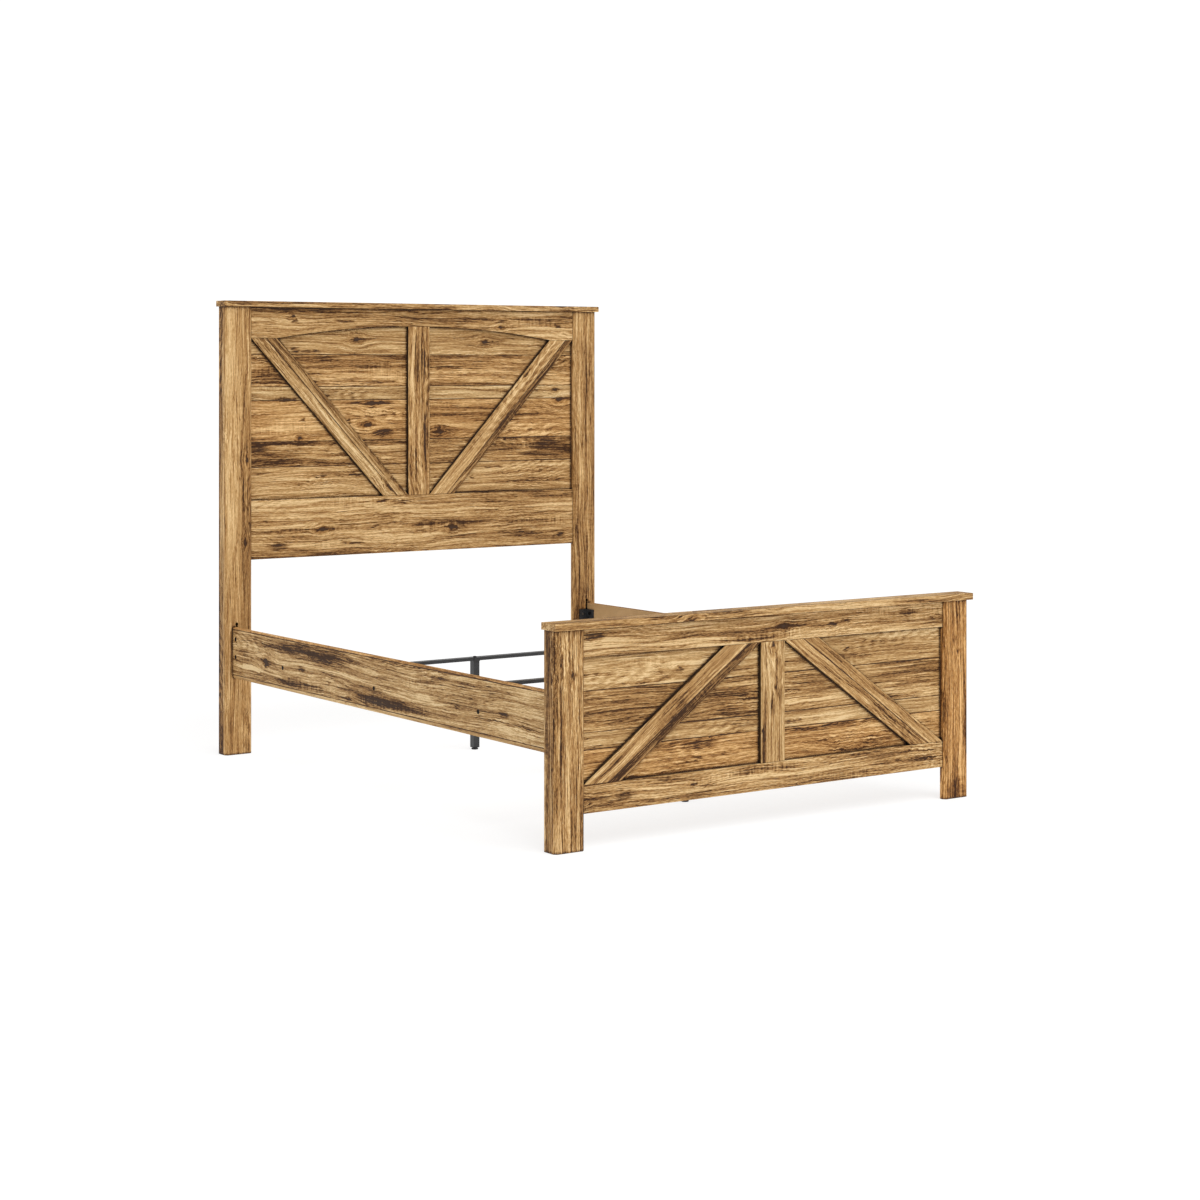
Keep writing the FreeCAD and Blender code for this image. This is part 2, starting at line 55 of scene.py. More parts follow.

# The grain's layers from broad to fine: noise features per metre along the board, across it and
# through it, how far the layer changes the tone, and the noise's detail and roughness
GRAIN_LAYERS = (
    ((0.9, 15, 15), 1.4, 2, 0.5),
    ((1.7, 76, 76), 1.9, 4, 0.62),
    ((7, 300, 300), 2.5, 3, 0.66),
    ((70, 640, 640), 1.5, 2, 0.6),
)
# The same numbers for the saw marks, and for the noise that is near zero on the thin dark lines
SAW_WAVE = ((130, 12, 12), 1.6, 3, 0.6)
THIN_LINES = ((3.4, 48, 48), 1.0, 3, 0.6)
THIN_LINE_SPAN = (0.022, 0.004)  # how near zero a line starts, and where it is full
# The same for how far the grain strays sideways and a knot's outline strays, in metres, and for how
# far the growth rings stray, in radians
BEND = ((1.6, 4, 4), 0.045, 2, 0.5)
WAVE = ((7, 22, 22), 0.010, 2, 0.5)
RIPPLE = ((42, 60, 60), 0.013, 2, 0.6)
KNOT_STRAY = ((70, 150, 60), 0.016, 3, 0.65)
RING_STRAY = ((14, 70, 70), 9.0, 3, 0.6)

# Patches where something shows: noise features a metre, detail and roughness, the noise level where
# a patch starts and where it is full, and the strength outside it and inside
FIGURED = ((1.9, 8, 8), 2, 0.5, 0.50, 0.66, 0.0, 1.0)
WEATHERED = ((1.5, 27, 27), 5, 0.68, 0.54, 0.70, 0.0, 0.42)
SAWN_PLACES = ((3.1, 19, 19), 2, 0.5, 0.58, 0.68, 0.0, 0.6)
LIGHT_LINES = ((3.0, 85, 85), 3, 0.6, 0.60, 0.72, 0.0, 0.28)
LINED_PLACES = ((3.3, 15, 15), 2, 0.5, 0.46, 0.60, 0.0, 0.38)
STREAKED = ((9, 130, 130), 3, 0.6, 0.36, 0.62, 0.60, 1.6)

RING_ARCHES = 5.5  # growth ring patterns a metre, side by side across the board
RING_PHASE = 900.0  # radians a metre, so a ring is 7 mm wide
RING_STRENGTH = 0.20
RING_WAVES = 2.3  # radians a metre along the board, for the depth at which the rings are cut
RING_DEPTH = (0.07, 0.08)  # how far that depth swings, and its middle, in metres
KNOT_DARKNESS = 0.6
SAWN_DARKNESS = 0.5
WOOD_ROUGHNESS = (0.62, 0.46)  # of the darkest and the palest wood
FIBRE_RELIEF = 1.5
GRAIN_RELIEF = 0.0005
GRAIN_SPECULAR = 0.15

# Knots: cells a metre along, across and through the board, each with a place where one may be
KNOT_CELLS = (3.4, 11.0, 9.0)
KNOT_SCATTER = 0.85
KNOT_SIZES = (0.7, 0.35)  # how much the sizes vary, and the least
KNOT_STRETCH = (0.6, 1.0, 0.0)  # makes a knot longer along the grain
# The parts of a knot and of the split beside it: the distances in metres where each starts and where
# it is full, and for the fainter ones the darkness outside and inside
KNOT_CORE = (0.013, 0.003)
KNOT_HALO = (0.034, 0.008, 0.0, 0.4)
KNOT_BEND = (0.075, 0.0)
SPLIT_WIDTH = (0.005, 0.001, 0.0, 0.55)
SPLIT_LENGTH = (0.07, 0.02)
SPLIT_MIDDLE = 0.03
KNOT_PUSH = -0.8  # how strongly the grain goes round a knot

# A placed mark's soft edge, as shares of its reach, and how its outline strays: noise features a
# metre, and how far in metres
MARK_EDGE = (1.15, 0.35)
RAGGED_SCALE = (30, 150, 0)
RAGGED_SIZE = (0.06, 0.022, 0.0)
ANY_DEPTH = 1.0  # a mark goes right through its board

# The plain paper on the hidden faces: its colour in sRGB bytes and how far that strays, and its
# noise, as features a metre, detail and roughness
PLAIN_TAN = (190, 153, 106)
PAPER_CHANGE = 13
PAPER_CLOUDS = ((14, 14, 14), 3, 0.6)
PAPER_FLECKS = ((420, 420, 420), 2, 0.6)
PAPER_ROUGHNESS = 0.62
PAPER_RELIEF = 0.0002
PAPER_SPECULAR = 0.3
NOISE_RANGE = (0.3, 0.7)  # where most of a noise's values lie

# Painted shade in corners, and holes painted black as shade: how near the other surfaces are, and
# where each starts and is full, from ambient occlusion's 1 in the open to 0 deep inside a hole
SHADE_REACH = 0.012
CORNER_SAMPLES = 6
CORNER_SHADE_SPAN = (0.88, 0.52)
CORNER_SHADE_DARKNESS = 0.9
HOLE_SHADE_SPAN = (0.47, 0.33)

# The printed dark line between two planks: how far each side of its middle it starts and is full
PLANK_JOINT = (0.0022, 0.00066)
JOINT_DARKNESS = 0.85
OVERLAY_EDGES = 0.14  # how bright the edges of the stiles and braces are, as a share of their faces
RAIL_LIP = 0.013  # a side rail's lighter bottom lip
RAIL_TOP_EDGE = 0.007
FACING_SPAN = (0.6, 0.8)  # from the cosine of a face that looks too far aside to one that doesn't
SAME_HEIGHT = 0.001  # a brace's corners this close in height are at the same end

# Each board and each plank shows its own part of the endless print
PRINT_SPREAD = (7.3, 3.1, 1.7)
BOARD_SHIFT = 3.7
PLANK_SHIFT = 9.7
PLANK_STEP = 0.1


def linear(colour):
    """An sRGB colour in bytes as Blender's linear colour."""
    made = []
    for byte in colour:
        share = byte / 255
        made.append(share / 12.92 if share <= 0.04045 else ((share + 0.055) / 1.055) ** 2.4)
    return (*made, 1.0)


# Node building


def set_inputs(tree, node, inputs):
    """Gives a node its inputs by name or number: each a socket to link or a value to set."""
    for key, value in dict(inputs).items():
        if isinstance(value, bpy.types.NodeSocket):
            tree.links.new(value, node.inputs[key])
        else:
            node.inputs[key].default_value = value


def add_node(tree, kind, inputs=(), **settings):
    """A new node with its settings and its inputs."""
    node = tree.nodes.new(kind)
    for name, value in settings.items():
        setattr(node, name, value)
    set_inputs(tree, node, inputs)
    return node


def calc(tree, operation, *values):
    """A Math node's result."""
    return add_node(tree, "ShaderNodeMath", enumerate(values), operation=operation).outputs[0]


def vector_calc(tree, operation, *values):
    """A Vector Math node's vector."""
    return add_node(tree, "ShaderNodeVectorMath", enumerate(values), operation=operation).outputs[0]


def vector_length(tree, vector):
    """A vector's length."""
    return add_node(tree, "ShaderNodeVectorMath", {0: vector}, operation="LENGTH").outputs[1]


def noise(tree, vector, scale, detail=2.0, roughness=0.5):
    """Noise from 0 to 1, with its own scale along each axis."""
    scaled = vector_calc(tree, "MULTIPLY", vector, scale)
    inputs = {"Vector": scaled, "Scale": 1.0, "Detail": detail, "Roughness": roughness}
    return add_node(tree, "ShaderNodeTexNoise", inputs).outputs[0]


def centred_noise(tree, vector, scale, size, detail=2.0, roughness=0.5):
    """Noise about zero, multiplied by size."""
    value = noise(tree, vector, scale, detail, roughness)
    return calc(tree, "MULTIPLY", calc(tree, "SUBTRACT", value, 0.5), size)


def smooth_step(tree, value, start, end, low=0.0, high=1.0):
    """low before start, high after end, smooth between."""
    inputs = {0: value, 1: start, 2: end, 3: low, 4: high}
    node = add_node(tree, "ShaderNodeMapRange", inputs, interpolation_type="SMOOTHSTEP")
    return node.outputs[0]


def soft_patches(tree, vector, scale, detail, roughness, start, end, low, high):
    """low where the noise is under start, high where it is over end."""
    return smooth_step(tree, noise(tree, vector, scale, detail, roughness), start, end, low, high)


def total(tree, *values):
    """The sum of the values."""
    result = values[0]
    for value in values[1:]:
        result = calc(tree, "ADD", result, value)
    return result


def mixed(tree, factor, first, second, blend="MIX"):
    """A colour mix. Inputs 6 and 7 and output 2 are the node's colour sockets."""
    node = add_node(tree, "ShaderNodeMix", data_type="RGBA", blend_type=blend)
    set_inputs(tree, node, {0: factor, 6: first, 7: second})
    return node.outputs[2]


def ramp_node(tree, value, stops, interpolation="LINEAR"):
    """A colour ramp; stops are (position, linear colour)."""
    node = add_node(tree, "ShaderNodeValToRGB", {0: value})
    node.color_ramp.interpolation = interpolation
    elements = node.color_ramp.elements
    elements.remove(elements[1])
    for index, (position, colour) in enumerate(stops):
        element = elements[0] if index == 0 else elements.new(position)
        element.position = position
        element.color = colour
    return node


def ramp(tree, value, stops):
    """A colour ramp's colour."""
    return ramp_node(tree, value, stops).outputs[0]


def new_group(name, inputs, outputs):
    """An empty node group and its input and output nodes. A socket is "VECTOR", "FLOAT" or "RGBA"."""
    kinds = {"VECTOR": "NodeSocketVector", "FLOAT": "NodeSocketFloat", "RGBA": "NodeSocketColor"}
    tree = bpy.data.node_groups.new(name, "ShaderNodeTree")
    for way, sockets in (("INPUT", inputs), ("OUTPUT", outputs)):
        for socket, kind in sockets.items():
            tree.interface.new_socket(socket, in_out=way, socket_type=kinds[kind])
    return tree, tree.nodes.new("NodeGroupInput").outputs, tree.nodes.new("NodeGroupOutput").inputs


def use_group(tree, group, inputs):
    """The outputs of a node group with these inputs."""
    node = tree.nodes.new("ShaderNodeGroup")
    node.node_tree = group
    set_inputs(tree, node, inputs)
    return node.outputs


# The rustic wood print. Its places are in metres: x along the grain, y across it, z into the board.


def make_mark_group():
    """One soft-edged streak, knot or patch at a set place, 1 in its middle and 0 outside."""
    sockets = {"Place": "VECTOR", "Centre": "VECTOR", "Reach": "VECTOR"}
    tree, given, result = new_group("mark", sockets, {"Value": "FLOAT"})
    offset = vector_calc(tree, "SUBTRACT", given["Place"], given["Centre"])
    distance = vector_length(tree, vector_calc(tree, "DIVIDE", offset, given["Reach"]))
    tree.links.new(smooth_step(tree, distance, *MARK_EDGE), result["Value"])
    return tree


def make_knot_group():
    """Knots scattered over a board: how they bend the grain about them, and how dark they are."""
    tree, given, result = new_group(
        "knots", {"Place": "VECTOR", "Share": "FLOAT"}, {"Push": "FLOAT", "Dark": "FLOAT"}
    )
    scaled = vector_calc(tree, "MULTIPLY", given["Place"], KNOT_CELLS)
    inputs = {"Vector": scaled, "Scale": 1.0, "Randomness": KNOT_SCATTER}
    voronoi = add_node(tree, "ShaderNodeTexVoronoi", inputs)
    centre = vector_calc(tree, "DIVIDE", voronoi.outputs["Position"], KNOT_CELLS)
    offset = vector_calc(tree, "SUBTRACT", given["Place"], centre)
    pick = add_node(tree, "ShaderNodeSeparateColor", {0: voronoi.outputs["Color"]}).outputs
    chosen = calc(tree, "LESS_THAN", pick[0], given["Share"])
    size = calc(tree, "MULTIPLY_ADD", pick[1], *KNOT_SIZES)
    flat = vector_calc(tree, "MULTIPLY", offset, KNOT_STRETCH)
    ragged = centred_noise(tree, given["Place"], *KNOT_STRAY)
    distance = calc(tree, "DIVIDE", total(tree, vector_length(tree, flat), ragged), size)
    core = smooth_step(tree, distance, *KNOT_CORE)
    halo = smooth_step(tree, distance, *KNOT_HALO)
    # A split runs out of each knot along the grain
    away = add_node(tree, "ShaderNodeSeparateXYZ", {0: offset}).outputs
    beside = calc(tree, "ABSOLUTE", total(tree, away[1], ragged))
    split = smooth_step(tree, beside, *SPLIT_WIDTH)
    along = calc(tree, "ABSOLUTE", calc(tree, "SUBTRACT", away[0], SPLIT_MIDDLE))
    split = calc(tree, "MULTIPLY", split, smooth_step(tree, along, *SPLIT_LENGTH))
    near = smooth_step(tree, distance, *KNOT_BEND)
    push = calc(tree, "MULTIPLY", calc(tree, "MULTIPLY", away[1], KNOT_PUSH), near)
    tree.links.new(calc(tree, "MULTIPLY", push, chosen), result["Push"])
    tree.links.new(calc(tree, "MULTIPLY", total(tree, core, halo, split), chosen), result["Dark"])
    return tree


def make_wood_group(knot_group):
    """The print's colour, roughness and relief from the place on a board and its plank's own look."""
    inputs = {
        "Place": "VECTOR",
        "Shift": "FLOAT",
        "Tone": "FLOAT",
        "Warmth": "FLOAT",
        "Contrast": "FLOAT",
        "Knots": "FLOAT",
        "Dark": "FLOAT",
        "Sawn": "FLOAT",
    }
    outputs = {"Color": "RGBA", "Roughness": "FLOAT", "Height": "FLOAT"}
    tree, given, result = new_group("rustic_wood", inputs, outputs)
    spread = vector_calc(tree, "SCALE", PRINT_SPREAD)
    tree.links.new(given["Shift"], spread.node.inputs["Scale"])
    place = vector_calc(tree, "ADD", given["Place"], spread)
    knots = use_group(tree, knot_group, {"Place": place, "Share": given["Knots"]})

    # The grain bends and waves along the board, ripples where it is figured, and goes round the knots
    figured = soft_patches(tree, place, *FIGURED)
    bend = centred_noise(tree, place, *BEND)
    wave = centred_noise(tree, place, *WAVE)
    ripple = calc(tree, "MULTIPLY", centred_noise(tree, place, *RIPPLE), figured)
    sideways = total(tree, bend, wave, ripple, knots["Push"])
    bent_by = add_node(tree, "ShaderNodeCombineXYZ", {1: sideways}).outputs[0]
    bent = vector_calc(tree, "ADD", place, bent_by)

    layers = [centred_noise(tree, bent, *layer) for layer in GRAIN_LAYERS]

    # Growth rings, cut at a slant so that they close into pointed arches
    axes = add_node(tree, "ShaderNodeSeparateXYZ", {0: bent}).outputs
    slant = calc(tree, "SINE", calc(tree, "MULTIPLY", axes[0], RING_WAVES))
    depth = calc(tree, "MULTIPLY_ADD", slant, *RING_DEPTH)
    side = calc(tree, "FRACT", calc(tree, "MULTIPLY", axes[1], RING_ARCHES))
    side = calc(tree, "DIVIDE", calc(tree, "SUBTRACT", side, 0.5), RING_ARCHES)
    ring_place = add_node(tree, "ShaderNodeCombineXYZ", {0: side, 1: depth}).outputs[0]
    phase = calc(tree, "MULTIPLY", vector_length(tree, ring_place), RING_PHASE)
    phase = total(tree, phase, centred_noise(tree, place, *RING_STRAY))
    ring_strength = calc(tree, "MULTIPLY", figured, RING_STRENGTH)
    ring = calc(tree, "MULTIPLY", calc(tree, "SINE", phase), ring_strength)

    # Weathered streaks, saw marks across the grain, and light lines
    weather = soft_patches(tree, bent, *WEATHERED)
    saw_wave = centred_noise(tree, place, *SAW_WAVE)
    saw_there = soft_patches(tree, place, *SAWN_PLACES)
    saw = calc(tree, "MULTIPLY", saw_wave, total(tree, saw_there, given["Sawn"]))
    light_lines = soft_patches(tree, bent, *LIGHT_LINES)

    # Thin dark lines that follow the grain, in places
    line = calc(tree, "ABSOLUTE", centred_noise(tree, bent, *THIN_LINES))
    line = smooth_step(tree, line, *THIN_LINE_SPAN)
    line = calc(tree, "MULTIPLY", line, soft_patches(tree, place, *LINED_PLACES))

    grain = total(tree, *layers, ring, saw, light_lines)
    grain = calc(tree, "MULTIPLY", grain, given["Contrast"])
    # The darker places are streaked themselves
    # Dark also brings the painted corner shade from ambient occlusion, which is streaked with the rest
    placed = calc(tree, "MULTIPLY", given["Dark"], soft_patches(tree, bent, *STREAKED))
    knotty = calc(tree, "MULTIPLY", knots["Dark"], KNOT_DARKNESS)
    dark = total(tree, weather, line, knotty, placed)
    dark = calc(tree, "ADD", dark, calc(tree, "MULTIPLY", given["Sawn"], SAWN_DARKNESS))
    tone = calc(tree, "SUBTRACT", total(tree, given["Tone"], grain), dark)
    stops = [(position, linear(colour)) for position, colour in WOOD_TONES]
    colour = ramp(tree, tone, stops)
    # Dark wood, weathered or in painted corner shade, is greyer, and some planks are more orange
    grey = smooth_step(tree, dark, *GREYED)
    colour = mixed(tree, grey, colour, WEATHERED_AND_SHADE_GREY)
    colour = mixed(tree, given["Warmth"], colour, ORANGE_TINT, "MULTIPLY")
    tree.links.new(colour, result["Color"])
    tree.links.new(smooth_step(tree, tone, 0.0, 1.0, *WOOD_ROUGHNESS), result["Roughness"])
    tree.links.new(calc(tree, "MULTIPLY_ADD", layers[-1], FIBRE_RELIEF, tone), result["Height"])
    return tree


mark_group = make_mark_group()
wood_group = make_wood_group(make_knot_group())


def new_material(name):
    """An empty material and its node tree."""
    material = bpy.data.materials.new(name)
    material.use_nodes = True
    material.node_tree.nodes.clear()
    return material, material.node_tree


def finish_material(tree, colour, roughness, height, relief, **constants):
    """The shader at the end of a material; relief is the bump's depth in metres."""
    inputs = {"Height": height, "Distance": relief, "Strength": 1.0}
    bump = add_node(tree, "ShaderNodeBump", inputs).outputs[0]
    inputs = {"Base Color": colour, "Roughness": roughness, "Normal": bump}
    inputs.update({name.replace("_", " "): value for name, value in constants.items()})
    shader = add_node(tree, "ShaderNodeBsdfPrincipled", inputs)
    output = tree.nodes.new("ShaderNodeOutputMaterial")
    tree.links.new(shader.outputs[0], output.inputs["Surface"])


def object_place(tree):
    """The place in the frame: every CAD object sits at the origin."""
    return tree.nodes.new("ShaderNodeTexCoord").outputs["Object"]


def facing(tree, direction):
    """1 on the faces that look along direction, 0 on the others."""
    normal = tree.nodes.new("ShaderNodeNewGeometry").outputs["True Normal"]
    node = add_node(tree, "ShaderNodeVectorMath", {0: normal, 1: direction}, operation="DOT_PRODUCT")
    return smooth_step(tree, node.outputs[1], *FACING_SPAN)


def plain_tan(tree, place):
    """The plain tan paper on the hidden faces: (colour, height)."""
    cloud = noise(tree, place, *PAPER_CLOUDS)
    fleck = noise(tree, place, *PAPER_FLECKS)
    level = total(tree, calc(tree, "MULTIPLY", cloud, 0.5), calc(tree, "MULTIPLY", fleck, 0.5))
    dark = linear([byte - PAPER_CHANGE for byte in PLAIN_TAN])
    light = linear([byte + PAPER_CHANGE for byte in PLAIN_TAN])
    return ramp(tree, level, zip(NOISE_RANGE, (dark, light))), fleck


class Board:
    """How one printed board looks. node is its CAD node, along the grain's direction and face the way
    its printed side looks. planks are (share of the width where it starts, tone, warmth, contrast),
    from the bottom or left. Marks are (x or y, z, reach along the grain, reach across it, darkness)
    in metres; sawn patches are the same, with saw marks across them. knots is the share of places
    that have a knot, and edges is the brightness of the other faces, as a share of the printed one's.
    plain_back is for a board whose back is plain tan paper."""

    def __init__(
        self,
        node,
        along,
        face,
        planks,
        marks=(),
        sawn=(),
        knots=0.2,
        plain_back=True,
        edges=0.5,
    ):
        self.node = node
        self.along = along
        self.face = face
        self.planks = planks
        self.marks = marks
        self.sawn = sawn
        self.knots = knots
        self.plain_back = plain_back
        self.edges = edges


def board_axes(board):
    """The rotation from the frame to the board's own axes: along the grain, across it, and through."""
    across = board.along.cross(board.face)
    if (across.z, across.x) < (0, 0):
        across = -across
    return Matrix((board.along, across, board.along.cross(across)))


def corners(node):
    """The corners of a CAD node's mesh, in the frame."""
    return [vertex.co for vertex in nodes[node].data.vertices]


def marked(tree, board, place, turn, centre, marks):
    """The marks' darkness at each place of the board."""
    values = [0.0]
    for level, height, reach_along, reach_across, darkness in marks:
        point = Vector((level, centre.y, height))
        if board.along == ALONG_BED:
            point = Vector((centre.x, level, height))
        inputs = {
            "Place": place,
            "Centre": turn @ (point - centre),
            "Reach": (reach_along, reach_across, ANY_DEPTH),
        }
        value = use_group(tree, mark_group, inputs)["Value"]
        values.append(calc(tree, "MULTIPLY", value, darkness))
    return total(tree, *values)


def board_material(board, shift):
    """A board's material; shift says which part of the endless print it shows."""
    material, tree = new_material(board.node)
    low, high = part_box(board.node)
    turn = board_axes(board)
    centre = (low + high) / 2
    half_width = max(abs(turn[1].dot(corner - centre)) for corner in corners(board.node))
    source = object_place(tree)
    mapping = {"Vector": source, "Location": -(turn @ centre), "Rotation": turn.to_euler()}
    place = add_node(tree, "ShaderNodeMapping", mapping).outputs[0]
    across = add_node(tree, "ShaderNodeSeparateXYZ", {0: place}).outputs[1]
    share = calc(tree, "DIVIDE", calc(tree, "ADD", across, half_width), 2 * half_width)

    # Each plank's look, with its place in the list as the look's fourth value
    looks = []
    for index, (start, *look) in enumerate(board.planks):
        looks.append((start, (*look, index * PLANK_STEP)))
    plank = ramp_node(tree, share, looks, "CONSTANT")
    look = add_node(tree, "ShaderNodeSeparateColor", {0: plank.outputs[0]}).outputs
    shift = calc(tree, "MULTIPLY_ADD", plank.outputs[1], PLANK_SHIFT, shift)

    # The placed marks have ragged edges, and a thin straight line parts two planks
    scaled = vector_calc(tree, "MULTIPLY", place, RAGGED_SCALE)
    ragged = add_node(tree, "ShaderNodeTexNoise", {"Vector": scaled, "Scale": 1.0}).outputs[1]
    ragged = vector_calc(tree, "SUBTRACT", ragged, (0.5, 0.5, 0.5))
    ragged = vector_calc(tree, "MULTIPLY", ragged, RAGGED_SIZE)
    ragged_place = vector_calc(tree, "ADD", place, ragged)
    dark = marked(tree, board, ragged_place, turn, centre, board.marks)
    sawn = marked(tree, board, ragged_place, turn, centre, board.sawn)
    joint_edge, joint_core = [reach / (2 * half_width) for reach in PLANK_JOINT]
    for start, *_ in board.planks[1:]:
        gap = calc(tree, "ABSOLUTE", calc(tree, "SUBTRACT", share, start))
        joint = smooth_step(tree, gap, joint_edge, joint_core, 0.0, JOINT_DARKNESS)
        dark = total(tree, dark, joint)
    # Painted shade in the corners where boards meet, from ambient occlusion
    inputs = {"Distance": SHADE_REACH}
    occlusion = add_node(tree, "ShaderNodeAmbientOcclusion", inputs, samples=CORNER_SAMPLES)
    corner = occlusion.outputs["AO"]
    dark = total(tree, dark, smooth_step(tree, corner, *CORNER_SHADE_SPAN, 0.0, CORNER_SHADE_DARKNESS))
    inputs = {
        "Place": place,
        "Shift": shift,
        "Tone": look[0],
        "Warmth": look[1],
        "Contrast": look[2],
        "Knots": board.knots,
        "Dark": dark,
        "Sawn": sawn,
    }
    wood = use_group(tree, wood_group, inputs)
    colour = wood["Color"]
    if board.edges < 1.0:
        ends = calc(tree, "SUBTRACT", 1.0, facing(tree, board.face))
        colour = mixed(tree, ends, colour, (board.edges, board.edges, board.edges, 1.0), "MULTIPLY")
    if board.plain_back:
        tan = plain_tan(tree, source)[0]
        colour = mixed(tree, facing(tree, -board.face), colour, tan)
    # Painted shade: the deepest hollows, such as bolt recesses and slots, are painted black
    colour = mixed(tree, smooth_step(tree, corner, *HOLE_SHADE_SPAN), colour, HOLE_SHADE_BLACK)
    gloss = {"Specular_IOR_Level": GRAIN_SPECULAR}
    finish_material(tree, colour, wood["Roughness"], wood["Height"], GRAIN_RELIEF, **gloss)
    return material


def planks_between(node, heights, looks):
    """Planks that meet at these heights above the floor, from the bottom up."""
    low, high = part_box(node)
    starts = [0.0] + [(height - low.z) / (high.z - low.z) for height in heights]
    return [(start, *look) for start, look in zip(starts, looks)]


def one_plank(tone, warmth=0.2, contrast=1.0):
    """The planks of a board whose print is one plank."""
    return ((0.0, tone, warmth, contrast),)


def crosswise(node, **settings):
    """A board of the headboard or footboard with level grain, printed on the side towards the foot."""
    return Board(node, ACROSS_BED, -ALONG_BED, **settings)


def upright(node, **settings):
    """A board of the headboard or footboard with upright grain."""
    return Board(node, UP, -ALONG_BED, **settings)


def outward(side):
    """The way that the bed's left or right side looks."""
    return -ACROSS_BED if side == "left" else ACROSS_BED


def post_side(name, side, tone):
    """The board on the outer side of a post."""
    return Board(f"{name}_post_{side}_side", UP, outward(side), one_plank(tone), edges=1.0)


def brace(name, side, **settings):
    """A brace, with its grain from the middle of its lower end to the middle of its upper end."""
    node = f"{name}_brace_{side}"
    heights = [corner.z for corner in corners(node)]
    ends = []
    for height in (min(heights), max(heights)):
        levels = [corner.x for corner in corners(node) if abs(corner.z - height) < SAME_HEIGHT]
        ends.append(Vector(((min(levels) + max(levels)) / 2, 0, height)))
    return Board(node, (ends[1] - ends[0]).normalized(), -ALONG_BED, edges=OVERLAY_EDGES, **settings)


def side_rail(side):
    """A side rail: printed lines set off its lighter bottom lip and its darker top edge."""
    node = f"side_rail_{side}"
    low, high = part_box(node)
    looks = ((0.64, 0.0, 0.6), (0.60, 0.0, 1.0), (0.46, 0.7, 0.8))
    planks = planks_between(node, (low.z + RAIL_LIP, high.z - RAIL_TOP_EDGE), looks)
    marks = (
        (0.45, 0.425, 0.30, 0.030, 0.35),
        (-0.55, 0.430, 0.30, 0.018, 0.30),
        (-0.25, 0.355, 0.22, 0.016, -0.45),
        (0.25, 0.350, 0.13, 0.014, -0.35),
        (0.90, 0.330, 0.12, 0.014, -0.40),
        (-0.80, 0.325, 0.20, 0.014, -0.30),
        (-0.78, 0.368, 0.035, 0.012, 0.5),
        (0.51, 0.368, 0.035, 0.012, 0.5),
        (-0.51, 0.355, 0.018, 0.009, 0.6),
        (0.78, 0.355, 0.018, 0.009, 0.6),
        (0.95, 0.38, 0.10, 0.020, 0.2),
    )
    sawn = (
        (-0.08, 0.315, 0.30, 0.020, 1.0),
        (0.0, 0.318, 0.12, 0.026, 0.6),
        (0.55, 0.315, 0.22, 0.020, 1.0),
    )
    return Board(node, ALONG_BED, outward(side), planks, marks, sawn, edges=1.0)
